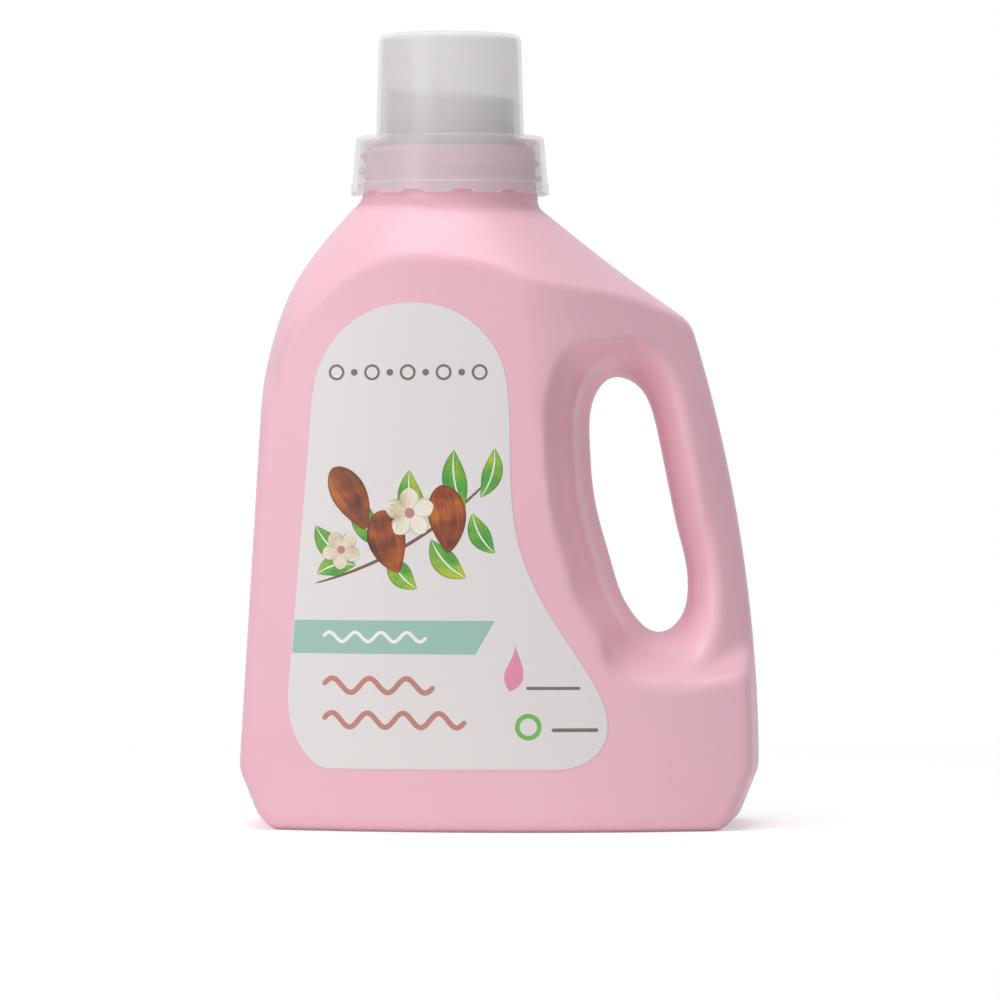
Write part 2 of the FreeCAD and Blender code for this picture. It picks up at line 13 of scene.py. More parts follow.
import bmesh
import bpy
import numpy as np
from bpy.types import Material, Mesh, Node, NodeSocket, NodeTree, Object, World
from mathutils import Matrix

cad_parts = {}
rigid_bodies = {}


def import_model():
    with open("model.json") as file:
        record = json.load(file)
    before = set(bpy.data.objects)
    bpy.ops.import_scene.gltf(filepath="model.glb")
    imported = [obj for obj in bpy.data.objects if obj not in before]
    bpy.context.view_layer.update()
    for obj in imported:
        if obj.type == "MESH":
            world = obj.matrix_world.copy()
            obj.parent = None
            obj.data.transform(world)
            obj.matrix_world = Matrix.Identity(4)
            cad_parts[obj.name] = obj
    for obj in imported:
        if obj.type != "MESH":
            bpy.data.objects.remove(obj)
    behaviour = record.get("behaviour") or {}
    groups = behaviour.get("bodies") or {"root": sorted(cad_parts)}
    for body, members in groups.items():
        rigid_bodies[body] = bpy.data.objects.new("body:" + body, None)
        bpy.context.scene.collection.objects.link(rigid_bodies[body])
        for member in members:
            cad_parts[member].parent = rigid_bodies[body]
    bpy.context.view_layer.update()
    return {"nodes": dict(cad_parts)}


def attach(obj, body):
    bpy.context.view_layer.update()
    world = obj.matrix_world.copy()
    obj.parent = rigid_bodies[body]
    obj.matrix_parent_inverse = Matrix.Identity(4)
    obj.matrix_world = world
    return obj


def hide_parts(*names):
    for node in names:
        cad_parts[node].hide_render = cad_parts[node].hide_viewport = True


LOG = logging.getLogger("bottle_scene")
MM = 0.001
MERGE_MM = 0.001
SHARP_DEGREES = 32.0
NECK_AXIS_X = -16.5
WHITE = "#FFFFFF"
Pair = tuple[float, float]


class Part(Enum):
    """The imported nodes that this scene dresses."""

    BOTTLE = "bottle"
    SPOUT = "pour_spout"
    CAP = "dosing_cap"
    LABEL = "front_label"


class Body(Enum):
    """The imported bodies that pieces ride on."""

    BOTTLE = "bottle"
    CAP = "cap"


class Slot(Enum):
    """The record's material slots."""

    BOTTLE = "bottle_plastic"
    SPOUT = "spout_plastic"
    CAP = "cap_plastic"
    LABEL = "label_film"


def linear(code: str) -> tuple[float, float, float, float]:
    """Turns an sRGB hex value into Blender's linear colour.

    Args:
        code: six hex digits after a hash sign.

    Returns:
        Linear red, green, blue and an alpha of one.
    """
    parts = np.array([int(code[i : i + 2], 16) for i in (1, 3, 5)]) / 255.0
    low = parts / 12.92
    high = ((parts + 0.055) / 1.055) ** 2.4
    red, green, blue = np.where(parts <= 0.04045, low, high)
    return float(red), float(green), float(blue), 1.0


def feed(tree: NodeTree, node: Node, inputs: dict) -> None:
    """Fills a node's inputs with values and links those that come from an output.

    Args:
        tree: the tree that holds the node.
        node: the node to feed.
        inputs: input name or number to a value, or to the output socket that feeds it.
    """
    for name, value in inputs.items():
        if isinstance(value, NodeSocket):
            tree.links.new(value, node.inputs[name])
        else:
            node.inputs[name].default_value = value


def add_node(tree: NodeTree, kind: str, inputs: dict | None = None, **settings: object) -> Node:
    """Adds a node, sets its properties and feeds its inputs.

    Args:
        tree: the node tree that gets the node.
        kind: Blender's name of the node type.
        inputs: what feed takes, or None.
        settings: properties of the node itself.

    Returns:
        The new node.
    """
    node = tree.nodes.new(kind)
    for name, value in settings.items():
        setattr(node, name, value)
    feed(tree, node, inputs or {})
    return node


def calculate(tree: NodeTree, operation: str, *values: NodeSocket | float) -> NodeSocket:
    """Adds a math node on one or two values and gives its result."""
    return add_node(tree, "ShaderNodeMath", dict(enumerate(values)), operation=operation).outputs["Value"]


def blend(tree: NodeTree, share: object, first: object, second: object) -> NodeSocket:
    """Mixes two colours: the first at a share of 0 and the second at 1."""
    inputs = {"Factor": share, "A": first, "B": second}
    return add_node(tree, "ShaderNodeMix", inputs, data_type="RGBA").outputs[2]


def stretched(tree: NodeTree, place: NodeSocket, scale: tuple[float, float, float]) -> NodeSocket:
    """Scales texture places along each axis."""
    return add_node(tree, "ShaderNodeMapping", {"Vector": place, "Scale": scale}).outputs["Vector"]


def object_place(tree: NodeTree) -> NodeSocket:
    """The place on the object, in metres, that textures are laid by."""
    return add_node(tree, "ShaderNodeTexCoord").outputs["Object"]


def noise(tree: NodeTree, place: NodeSocket, size_mm: float, detail: float) -> NodeSocket:
    """Adds a noise whose features are about the given size in millimetres."""
    inputs = {"Vector": place, "Scale": 1.0 / (size_mm * MM), "Detail": detail}
    return add_node(tree, "ShaderNodeTexNoise", inputs).outputs["Fac"]


def ramp(tree: NodeTree, factor: NodeSocket, stops: Sequence[tuple[float, str]]) -> NodeSocket:
    """Adds a colour ramp from hex colours.

    Args:
        tree: the node tree.
        factor: the socket that drives the ramp.
        stops: place and hex colour of each stop, in order.

    Returns:
        The ramp's colour.
    """
    node = add_node(tree, "ShaderNodeValToRGB", {"Fac": factor})
    elements = node.color_ramp.elements
    while len(elements) < len(stops):
        elements.new(0.5)
    for element, (place, code) in zip(elements, stops):
        element.position = place
        element.color = linear(code)
    return node.outputs["Color"]


def remap(
    tree: NodeTree,
    value: NodeSocket,
    source: Pair = (0.0, 1.0),
    target: Pair = (0.0, 1.0),
    way: str = "LINEAR",
) -> NodeSocket:
    """Maps one range of values onto another and holds the ends outside it.

    Args:
        tree: the node tree.
        value: the socket with the values.
        source: the range they come from.
        target: the range they go to.
        way: Blender's name of the interpolation.

    Returns:
        The mapped value.
    """
    names = ("From Min", "From Max", "To Min", "To Max")
    inputs = {"Value": value, **dict(zip(names, (*source, *target)))}
    return add_node(tree, "ShaderNodeMapRange", inputs, interpolation_type=way).outputs["Result"]


def bump(tree: NodeTree, height: NodeSocket, size_mm: float, under: NodeSocket | None = None) -> NodeSocket:
    """Adds a bump.

    Args:
        tree: the node tree.
        height: the socket that gives the height, from 0 to 1.
        size_mm: the height that 1 stands for.
        under: the normal that the bump lies on, or None.

    Returns:
        The bumped normal.
    """
    inputs = {"Height": height, "Distance": size_mm * MM}
    if under is not None:
        inputs["Normal"] = under
    return add_node(tree, "ShaderNodeBump", inputs).outputs["Normal"]


def empty_tree(owner: Material | World) -> NodeTree:
    """Turns the nodes of a material or a world on, and clears them."""
    owner.use_nodes = True
    owner.node_tree.nodes.clear()
    return owner.node_tree


def new_material(name: str) -> tuple[Material, NodeTree, Node]:
    """Makes an empty node material with one Principled shader.

    Args:
        name: the material's name.

    Returns:
        The material, its node tree and its Principled shader.
    """
    material = bpy.data.materials.new(name)
    tree = empty_tree(material)
    shader = add_node(tree, "ShaderNodeBsdfPrincipled")
    add_node(tree, "ShaderNodeOutputMaterial", {"Surface": shader.outputs["BSDF"]})
    return material, tree, shader


@dataclass(frozen=True)
class BlownPolyethylene:
    """Pigmented HDPE from a blow mould: satin and waxy, with a sand-blasted grain and a parting line."""

    colour: str = "#F5C2CF"
    colour_deep: str = "#F1BBC9"
    cloud_mm: float = 70.0
    grain_mm: float = 0.9
    grain_height_mm: float = 0.012
    sink_mm: float = 26.0
    sink_height_mm: float = 0.22
    parting_half_mm: float = 0.35
    parting_height_mm: float = 0.10
    roughness: float = 0.42
    roughness_spread: float = 0.07
    ior: float = 1.52
    glow_share: float = 0.12
    glow_reach: tuple[float, float, float] = (1.0, 0.55, 0.6)
    glow_mm: float = 4.0

    def material(self) -> Material:
        """Builds the satin pink plastic with its grain, sink marks and parting line."""
        material, tree, shader = new_material("hdpe_pink_blow_moulded")
        place = object_place(tree)
        cloud = noise(tree, place, self.cloud_mm, 3.0)
        grain = noise(tree, place, self.grain_mm, 2.0)
        sink = noise(tree, place, self.sink_mm, 0.0)
        depth = add_node(tree, "ShaderNodeSeparateXYZ", {"Vector": place}).outputs["Y"]
        away = calculate(tree, "ABSOLUTE", depth)
        line = remap(tree, away, (0.0, self.parting_half_mm * MM), (1.0, 0.0), "SMOOTHSTEP")
        seam = bump(tree, line, self.parting_height_mm, bump(tree, sink, self.sink_height_mm))
        rough = (self.roughness - self.roughness_spread, self.roughness + self.roughness_spread)
        feed(tree, shader, {
            "Base Color": ramp(tree, cloud, ((0.35, self.colour_deep), (0.65, self.colour))),
            "Roughness": remap(tree, grain, target=rough),
            "Normal": bump(tree, grain, self.grain_height_mm, seam),
            "IOR": self.ior,
            "Subsurface Weight": self.glow_share,
            "Subsurface Radius": self.glow_reach,
            "Subsurface Scale": self.glow_mm * MM,
        })
        return material


@dataclass(frozen=True)
class MilkyPolymer:
    """Injection-moulded natural polymer: milky, half see-through, with faint flow lines down the wall."""

    name: str
    colour: str
    alpha: float
    roughness: float
    ior: float
    flow_mm: float = 7.0
    flow_stretch: float = 0.08
    flow_height_mm: float = 0.03
    roughness_share: float = 0.15

    def material(self) -> Material:
        """Builds the milky plastic."""
        material, tree, shader = new_material(self.name)
        place = stretched(tree, object_place(tree), (1.0, 1.0, self.flow_stretch))
        flow = noise(tree, place, self.flow_mm, 2.0)
        spread = self.roughness * self.roughness_share
        feed(tree, shader, {
            "Base Color": linear(self.colour),
            "Roughness": remap(tree, flow, target=(self.roughness - spread, self.roughness + spread)),
            "Normal": bump(tree, flow, self.flow_height_mm),
            "Alpha": self.alpha,
            "IOR": self.ior,
        })
        return material


@dataclass(frozen=True)
class PrintedFilm:
    """White polypropylene label film with a matt varnish: even, with the faintest orange peel."""

    colour: str = "#E6E2E1"
    roughness: float = 0.38
    ior: float = 1.49
    peel_mm: float = 1.6
    peel_height_mm: float = 0.01

    def material(self) -> Material:
        """Builds the label's white ground."""
        material, tree, shader = new_material("polypropylene_label_film")
        peel = noise(tree, object_place(tree), self.peel_mm, 2.0)
        feed(tree, shader, {
            "Base Color": linear(self.colour),
            "Roughness": self.roughness,
            "Normal": bump(tree, peel, self.peel_height_mm),
            "IOR": self.ior,
        })
        return material


@dataclass(frozen=True)
class FlatInk:
    """One spot colour of the label's print, under the same matt varnish."""

    name: str
    colour: str
    roughness: float = 0.38
    speck_mm: float = 0.8
    cover: float = 0.94

    def material(self) -> Material:
        """Builds the spot colour, with the slight unevenness of flexographic ink."""
        material, tree, shader = new_material(self.name)
        speck = noise(tree, object_place(tree), self.speck_mm, 3.0)
        full = linear(self.colour)
        pale = blend(tree, speck, full, linear(WHITE))
        feed(tree, shader, {"Base Color": blend(tree, self.cover, pale, full), "Roughness": self.roughness})
        return material


@dataclass(frozen=True)
class PaintedInk:
    """Process ink of a painted motif: washes that pool along its length and darken at its edge."""

    name: str
    stops: tuple[tuple[float, str], ...]
    edge: str
    fibre_share: float
    fibre_stretch: float
    wash_mm: float = 9.0
    edge_start: float = 0.72
    roughness: float = 0.38

    def material(self) -> Material:
        """Builds the washes on the motif's UV map: U runs along it, V from its middle line to its edge."""
        material, tree, shader = new_material(self.name)
        uv = add_node(tree, "ShaderNodeUVMap", uv_map="motif").outputs["UV"]
        fibre = add_node(tree, "ShaderNodeTexNoise", {
            "Vector": stretched(tree, uv, (self.fibre_stretch, 1.0, 1.0)),
            "Scale": 1.0 / self.fibre_share,
            "Detail": 6.0,
            "Roughness": 0.7,
        }).outputs["Fac"]
        wash = noise(tree, object_place(tree), self.wash_mm, 4.0)
        half = calculate(tree, "MULTIPLY", calculate(tree, "ADD", fibre, wash), 0.5)
        across = add_node(tree, "ShaderNodeSeparateXYZ", {"Vector": uv}).outputs["Y"]
        rim = remap(tree, across, (self.edge_start, 1.0), way="SMOOTHSTEP")
        dark = calculate(tree, "MULTIPLY", rim, fibre)
        colour = blend(tree, dark, ramp(tree, half, self.stops), linear(self.edge))
        feed(tree, shader, {"Base Color": colour, "Roughness": self.roughness})
        return material


def linked(name: str, data: bpy.types.ID) -> Object:
    """Makes an object of the given data and links it into the scene."""
    made = bpy.data.objects.new(name, data)
    bpy.context.scene.collection.objects.link(made)
    return made


def read_points(mesh: Mesh) -> np.ndarray:
    """The mesh's vertices, three columns, in millimetres."""
    flat = np.empty(3 * len(mesh.vertices))
    mesh.vertices.foreach_get("co", flat)
    return flat.reshape(-1, 3) / MM


def write_points(mesh: Mesh, points: np.ndarray) -> None:
    """Moves the mesh's vertices to the given places, in millimetres."""
    mesh.vertices.foreach_set("co", (points * MM).ravel())
    mesh.update()


def mesh_object(
    name: str,
    points: np.ndarray,
    faces: np.ndarray,
    uv: np.ndarray | None = None,
    merge_mm: float = MERGE_MM,
) -> Object:
    """Makes an object from vertices in millimetres, merged, with its faces outwards and shaded smooth.

    Args:
        name: the piece's name.
        points: vertices, three columns, in millimetres.
        faces: quads, four columns of vertex numbers.
        uv: a motif's UV at each vertex, two columns, or None; a motif keeps its thinnest faces.
        merge_mm: vertices nearer to each other than this become one.

    Returns:
        The linked object, at the origin.
    """
    mesh = bpy.data.meshes.new(name)
    mesh.from_pydata((points * MM).tolist(), [], faces.tolist())
    if uv is not None:
        layer = mesh.uv_layers.new(name="motif")
        corner = np.zeros(len(mesh.loops), np.int32)
        mesh.loops.foreach_get("vertex_index", corner)
        layer.data.foreach_set("uv", uv[corner].astype(np.float32).ravel())
    edit = bmesh.new()
    edit.from_mesh(mesh)
    bmesh.ops.remove_doubles(edit, verts=edit.verts, dist=merge_mm * MM)
    if uv is None:
        bmesh.ops.dissolve_degenerate(edit, edges=edit.edges, dist=MERGE_MM * MM)
    bmesh.ops.recalc_face_normals(edit, faces=edit.faces)
    edit.to_mesh(mesh)
    edit.free()
    made = linked(name, mesh)
    smooth(made)
    return made


def smooth(made: Object, degrees: float = SHARP_DEGREES) -> None:
    """Shades an object smooth, except across edges sharper than the given angle."""
    made.data.shade_smooth()
    made.data.set_sharp_from_angle(angle=math.radians(degrees))


def grid(rows: int, columns: int, round_rows: bool = False, round_columns: bool = False) -> np.ndarray:
    """Numbers the quads of a grid of vertices.

    Args:
        rows: vertices along the first way.
        columns: vertices along the second way.
        round_rows: whether the last row joins the first.
        round_columns: whether the last column joins the first.

    Returns:
        The quads, four columns of vertex numbers.
    """
    down = np.arange(rows - (not round_rows))
    over = np.arange(columns - (not round_columns))
    i, j = np.meshgrid(down, over, indexing="ij")
    across = (i + 1) % rows
    along = (j + 1) % columns
    corners = (i * columns + j, across * columns + j, across * columns + along, i * columns + along)
    return np.stack([corner.ravel() for corner in corners], axis=1)


def spline(points: np.ndarray, start: np.ndarray, end: np.ndarray, count: int) -> np.ndarray:
    """Clamped cubic spline: it passes through the points and leaves them along the given ways.

    With knots at the distances between the points, the slopes solve the usual three-term system, and each
    stretch is the cubic that has its two end points and slopes.

    Args:
        points: the points, two columns.
        start: slope at the first point.
        end: slope at the last point.
        count: samples wanted.

    Returns:
        The samples, two columns.
    """
    steps = np.linalg.norm(np.diff(points, axis=0), axis=1)
    knots = np.concatenate([[0.0], np.cumsum(steps)])
    size = len(points)
    system = np.eye(size)
    right = np.zeros((size, 2))
    right[0], right[-1] = start, end
    inner = np.arange(1, size - 1)
    before, after = steps[:-1], steps[1:]
    system[inner, inner - 1] = 1.0 / before
    system[inner, inner] = 2.0 / before + 2.0 / after
    system[inner, inner + 1] = 1.0 / after
    gains = np.diff(points, axis=0)
    right[inner] = 3.0 * (gains[:-1] / before[:, None] ** 2 + gains[1:] / after[:, None] ** 2)
    slopes = np.linalg.solve(system, right)
    place = np.linspace(0.0, knots[-1], count)
    stretch = np.clip(np.searchsorted(knots, place, side="right") - 1, 0, size - 2)
    step = steps[stretch][:, None]
    t = (place - knots[stretch])[:, None] / step
    a, b = points[stretch], points[stretch + 1]
    m, n = slopes[stretch] * step, slopes[stretch + 1] * step
    from_a = (2 * t**3 - 3 * t**2 + 1) * a + (t**3 - 2 * t**2 + t) * m
    from_b = (3 * t**2 - 2 * t**3) * b + (t**3 - t**2) * n
    return from_a + from_b


def evenly(points: np.ndarray, count: int) -> np.ndarray:
    """Spaces samples evenly along a closed line.

    Args:
        points: the line's points, two columns; the last joins the first.
        count: samples wanted.

    Returns:
        The samples, two columns, without the closing one.
    """
    closed = np.vstack([points, points[:1]])
    run = np.concatenate([[0.0], np.cumsum(np.linalg.norm(np.diff(closed, axis=0), axis=1))])
    place = np.linspace(0.0, run[-1], count, endpoint=False)
    return np.stack([np.interp(place, run, closed[:, k]) for k in (0, 1)], axis=1)


def rounded(corners: Sequence[tuple[float, float, float]], steps: int = 8) -> np.ndarray:
    """Rounds the corners of an open profile.

    Each corner with a radius becomes the quadratic curve between the points at that distance along its two
    sides, which is near enough to an arc at these sizes.

    Args:
        corners: radius from the axis, height and rounding of each corner.
        steps: samples in each rounding.

    Returns:
        The profile, two columns: radius and height.
    """
    points = np.array([corner[:2] for corner in corners])
    profile = [points[:1]]
    t = np.linspace(0.0, 1.0, steps)[:, None]
    for index in range(1, len(points) - 1):
        size = corners[index][2]
        corner = points[index]
        if size <= 0.0:
            profile.append(corner[None])
            continue
        back = points[index - 1] - corner
        on = points[index + 1] - corner
        first = corner + back / np.linalg.norm(back) * size
        last = corner + on / np.linalg.norm(on) * size
        profile.append((1 - t) ** 2 * first + 2 * t * (1 - t) * corner + t**2 * last)
    profile.append(points[-1:])
    return np.vstack(profile)


def about_neck(radius: np.ndarray, angle: np.ndarray, z: np.ndarray) -> np.ndarray:
    """Points about the neck's axis: x = axis + r cos a, y = r sin a, z as given; three columns."""
    x = NECK_AXIS_X + radius * np.cos(angle)
    return np.stack([x, radius * np.sin(angle), z], axis=-1).reshape(-1, 3)


def ease(value: np.ndarray) -> np.ndarray:
    """Smooth step from 0 to 1: 3 v squared minus 2 v cubed."""
    clipped = np.clip(value, 0.0, 1.0)
    return clipped * clipped * (3.0 - 2.0 * clipped)


def ease_from(value: np.ndarray, start: float, span: float) -> np.ndarray:
    """Eases from 0 at the start to 1 a span further on; with a minus span it eases downwards."""
    return ease((value - start) / span)


def settle(made: Object) -> None:
    """Applies an object's modifiers to its own mesh."""
    depsgraph = bpy.context.evaluated_depsgraph_get()
    final = bpy.data.meshes.new_from_object(made.evaluated_get(depsgraph))
    final.name = made.name
    made.modifiers.clear()
    made.data = final


@dataclass
class BottleBody:
    """Blow-moulded body, handle and neck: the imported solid's own skin, made even and soft.

    The grip and crease fields give where a region of the relaxing starts and over what span it fades in.
    """

    voxel_mm: float = 1.3
    hollow_share: float = 0.15
    crisp_rounds: int = 1
    even_rounds: int = 4
    soft_rounds: int = 22
    relax_share: float = 0.5
    grip_x: Pair = (42.0, 10.0)
    grip_foot: Pair = (43.0, 7.0)
    grip_top: Pair = (158.0, -7.0)
    crease_x: Pair = (-20.0, 25.0)
    crease_foot: Pair = (150.0, 6.0)
    crease_top: Pair = (200.0, -6.0)
    crease_y: Pair = (24.0, 4.0)
    neck_top: float = 224.0
    neck_reach: float = 28.0
    bore_radius: float = 26.0
    lip_margin: float = 0.05
    knife_degrees: float = 95.0
    sharp_degrees: float = 50.0
    half_depth: float = 45.0
    bow_radius: float = 220.4
    panel_reach: float = 0.24
    wall: float = 1.3
    neck_foot: float = 214.0
    neck_blend: float = 3.0
    rise: float = 4.0

    def islands(self, edit: bmesh.types.BMesh) -> list[list[bmesh.types.BMVert]]:
        """Groups the vertices that edges join."""
        left = set(edit.verts)
        groups = []
        while left:
            front = [left.pop()]
            group = list(front)
            while front:
                near = {edge.other_vert(vert) for vert in front for edge in vert.link_edges} & left
                left -= near
                front = list(near)
                group.extend(front)
            groups.append(group)
        return groups

    def outer_skin(self, node: Object) -> Mesh:
        """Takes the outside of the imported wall, parted at the lip's inner edge and at knife edges.

        Args:
            node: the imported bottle.

        Returns:
            The outer skin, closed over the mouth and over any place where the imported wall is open.
        """
        whole = bmesh.new()
        whole.from_mesh(node.data)
        bmesh.ops.remove_doubles(whole, verts=whole.verts, dist=MERGE_MM * MM)
        top = self.neck_top * MM
        margin = self.lip_margin * MM
        knife = math.radians(self.knife_degrees)

        def on_lip(vert: bmesh.types.BMVert) -> bool:
            reach = math.hypot(vert.co.x - NECK_AXIS_X * MM, vert.co.y)
            return abs(vert.co.z - top) < margin and abs(reach - self.bore_radius * MM) < 2.0 * margin

        parted = [
            edge for edge in whole.edges
            if all(on_lip(vert) for vert in edge.verts) or edge.calc_face_angle(0.0) > knife
        ]
        bmesh.ops.split_edges(whole, edges=parted)
        groups = self.islands(whole)
        outer = max(groups, key=lambda group: max(vert.co.x for vert in group))
        LOG.info("bottle skins: %s vertices", [len(group) for group in groups])
        kept = set(outer)
        bmesh.ops.delete(whole, geom=[vert for vert in whole.verts if vert not in kept], context="VERTS")
        rim = [edge for edge in whole.edges if edge.is_boundary]
        lids = bmesh.ops.holes_fill(whole, edges=rim, sides=0)["faces"]
        bmesh.ops.triangulate(whole, faces=lids, ngon_method="BEAUTY")
        left_open = sum(edge.is_boundary for edge in whole.edges)
        LOG.info("bottle skin: %d lids, %d edges left open", len(lids), left_open)
        mesh = bpy.data.meshes.new("bottle_outer")
        whole.to_mesh(mesh)
        whole.free()
        return mesh

    def hollow(self, skin: Mesh) -> Mesh:
        """Makes the hollow from the finished skin: each vertex moves in along its normal by the wall.

        In the neck its radius is at most the bore's, and its top rises smoothly until it is past the lip.

        Args:
            skin: the relaxed outer skin, closed over the mouth.

        Returns:
            The hollow, closed just above the mouth.
        """
        mesh = skin.copy()
        normals = np.empty(3 * len(mesh.vertices))
        mesh.vertex_normals.foreach_get("vector", normals)
        points = read_points(mesh) - self.wall * normals.reshape(-1, 3)
        x = points[:, 0] - NECK_AXIS_X
        reach = np.maximum(np.hypot(x, points[:, 1]), MERGE_MM)
        in_neck = ease_from(points[:, 2], self.neck_foot, self.neck_blend) * (reach < self.neck_reach)
        share = 1.0 + in_neck * (np.minimum(self.bore_radius / reach, 1.0) - 1.0)
        points[:, 0] = NECK_AXIS_X + x * share
        points[:, 1] *= share
        rise_foot = self.neck_foot + self.neck_blend
        points[:, 2] += self.rise * ease_from(points[:, 2], rise_foot, self.neck_blend)
        write_points(mesh, points)
        return mesh

    def rounds(self, points: np.ndarray) -> np.ndarray:
        """How many rounds of relaxing each vertex takes part in.

        Most of the skin takes the even rounds. The shoulder's crease towards the handle stays crisp, and the
        grip's ridge and shelf turn soft, with a smooth change between the two about the handle.

        Args:
            points: the vertices, three columns, in millimetres.

        Returns:
            The rounds of each vertex, with fractions.
        """
        x, y, z = points.T
        grip = ease_from(x, *self.grip_x) * ease_from(z, *self.grip_foot) * ease_from(z, *self.grip_top)
        crease = ease_from(x, *self.crease_x) * ease_from(np.abs(y), *self.crease_y) * (1.0 - grip)
        crease = crease * ease_from(z, *self.crease_foot) * ease_from(z, *self.crease_top)
        even = self.even_rounds + crease * (self.crisp_rounds - self.even_rounds)
        return even + grip * (self.soft_rounds - even)

    def relax(self, mesh: Mesh) -> None:
        """Relaxes the skin: each round moves a vertex half way to the mean of its neighbours."""
        count = len(mesh.vertices)
        points = read_points(mesh)
        ends = np.empty(2 * len(mesh.edges), np.int32)
        mesh.edges.foreach_get("vertices", ends)
        first, second = ends.reshape(-1, 2).T
        here = np.concatenate([first, second])
        there = np.concatenate([second, first])
        degree = np.maximum(np.bincount(here, minlength=count), 1)[:, None]
        rounds = self.rounds(points)
        for number in range(self.soft_rounds):
            share = self.relax_share * np.clip(rounds - number, 0.0, 1.0)[:, None]
            total = np.stack([np.bincount(here, points[there, k], count) for k in range(3)], axis=1)
            points += share * (total / degree - points)
        self.true_panels(points)
        write_points(mesh, points)

    def true_panels(self, points: np.ndarray) -> None:
        """Moves vertices within a hair of a bowed panel onto its circle, which takes the facets out of it.

        The circle is y = half depth - radius + root(radius squared - x squared), in front and behind.

        Args:
            points: the vertices, three columns, in millimetres; they are changed in place.
        """
        x, y = points[:, 0], points[:, 1]
        bow = self.half_depth - self.bow_radius + np.sqrt(self.bow_radius**2 - x * x)
        away = np.abs(np.abs(y) - bow)
        fade = 0.5 * self.panel_reach
        share = 1.0 - ease_from(away, fade, fade)
        points[:, 1] += share * (np.sign(y) * bow - y)

    def build(self, node: Object) -> Object:
        """Builds the piece: an even skin on a 1.3 mm lattice, relaxed, with the hollow cut out of it."""
        made = linked("bottle_skin", self.outer_skin(node))
        lattice = made.modifiers.new("even_skin", "REMESH")
        lattice.mode = "VOXEL"
        lattice.voxel_size = self.voxel_mm * MM
        settle(made)
        self.relax(made.data)
        cutter = linked("bottle_hollow", self.hollow(made.data))
        thin = cutter.modifiers.new("fewer_faces", "DECIMATE")
        thin.ratio = self.hollow_share
        settle(cutter)
        cut = made.modifiers.new("hollow", "BOOLEAN")
        cut.operation = "DIFFERENCE"
        cut.object = cutter
        cut.solver = "EXACT"
        settle(made)
        bpy.data.objects.remove(cutter)
        smooth(made, self.sharp_degrees)
        return made


@dataclass
class Thread:
    """A helical ridge about the neck's axis, faded at both ends; the kinds of it say how far out it lies."""

    name: str
    start_z: float
    turns: float
    height: float
    half_width: float
    fade_turns: float
    steps: int
    sides: int
    first_turn: float = 0.0
    pitch: float = 5.2

    def radius(self, around: np.ndarray, fade: np.ndarray, z: np.ndarray) -> np.ndarray:
        """How far from the axis the ridge's surface lies.

        Args:
            around: angle round the ridge's own section.
            fade: 0 at the ends of the ridge and 1 along it.
            z: the height of each place.

        Returns:
            The radius of each place.
        """
        raise NotImplementedError

    def build(self) -> Object:
        """Sweeps the ridge: a = 2 pi (t + first turn), z = start + pitch t + half width sin s."""
        t = np.linspace(0.0, self.turns, self.steps)
        section = np.linspace(0.0, 2.0 * np.pi, self.sides, endpoint=False)
        turn, around = np.meshgrid(t, section, indexing="ij")
        near_end = np.minimum(turn, self.turns - turn) / self.fade_turns
        fade = np.sin(0.5 * np.pi * np.clip(near_end, 0.0, 1.0))
        z = self.start_z + self.pitch * turn + np.sin(around) * self.half_width * fade
        points = about_neck(self.radius(around, fade, z), 2.0 * np.pi * (turn + self.first_turn), z)
        return mesh_object(self.name, points, grid(self.steps, self.sides, round_columns=True))


@dataclass
class NeckThread(Thread):
    """Single-start thread on the neck: a rounded ridge that rises out of the neck's wall."""

    name: str = "neck_thread"
    start_z: float = 212.6
    turns: float = 1.7
    height: float = 0.85
    half_width: float = 1.3
    fade_turns: float = 0.12
    steps: int = 360
    sides: int = 16
    core_radius: float = 28.2
    sink: float = 0.2
    roundness: float = 0.7

    def radius(self, around: np.ndarray, fade: np.ndarray, z: np.ndarray) -> np.ndarray:
        """The ridge swells outwards from the core and keeps its foot sunk in the wall."""
        swell = np.clip(np.cos(around), 0.0, 1.0) ** self.roundness * self.height * fade
        return self.core_radius - self.sink + (swell + self.sink * (np.cos(around) > 0)) * (fade > 0)


@dataclass
class CapThread(Thread):
    """Thread inside the skirt: a fine ridge on the tapering wall, half a turn away from the neck's."""

    name: str = "cap_thread"
    start_z: float = 210.6
    turns: float = 2.3
    height: float = 0.95
    half_width: float = 0.8
    fade_turns: float = 0.1
    steps: int = 420
    sides: int = 12
    first_turn: float = 0.5
    foot_radius: float = 30.9
    top_radius: float = 29.55
    foot_z: float = 207.8
    top_z: float = 225.8

    def radius(self, around: np.ndarray, fade: np.ndarray, z: np.ndarray) -> np.ndarray:
        """The ridge swells inwards from the wall, whose radius falls evenly from foot to top."""
        share = (z - self.foot_z) / (self.top_z - self.foot_z)
        wall = self.foot_radius + share * (self.top_radius - self.foot_radius)
        return wall - (0.5 - 0.5 * np.cos(around)) * self.height * fade


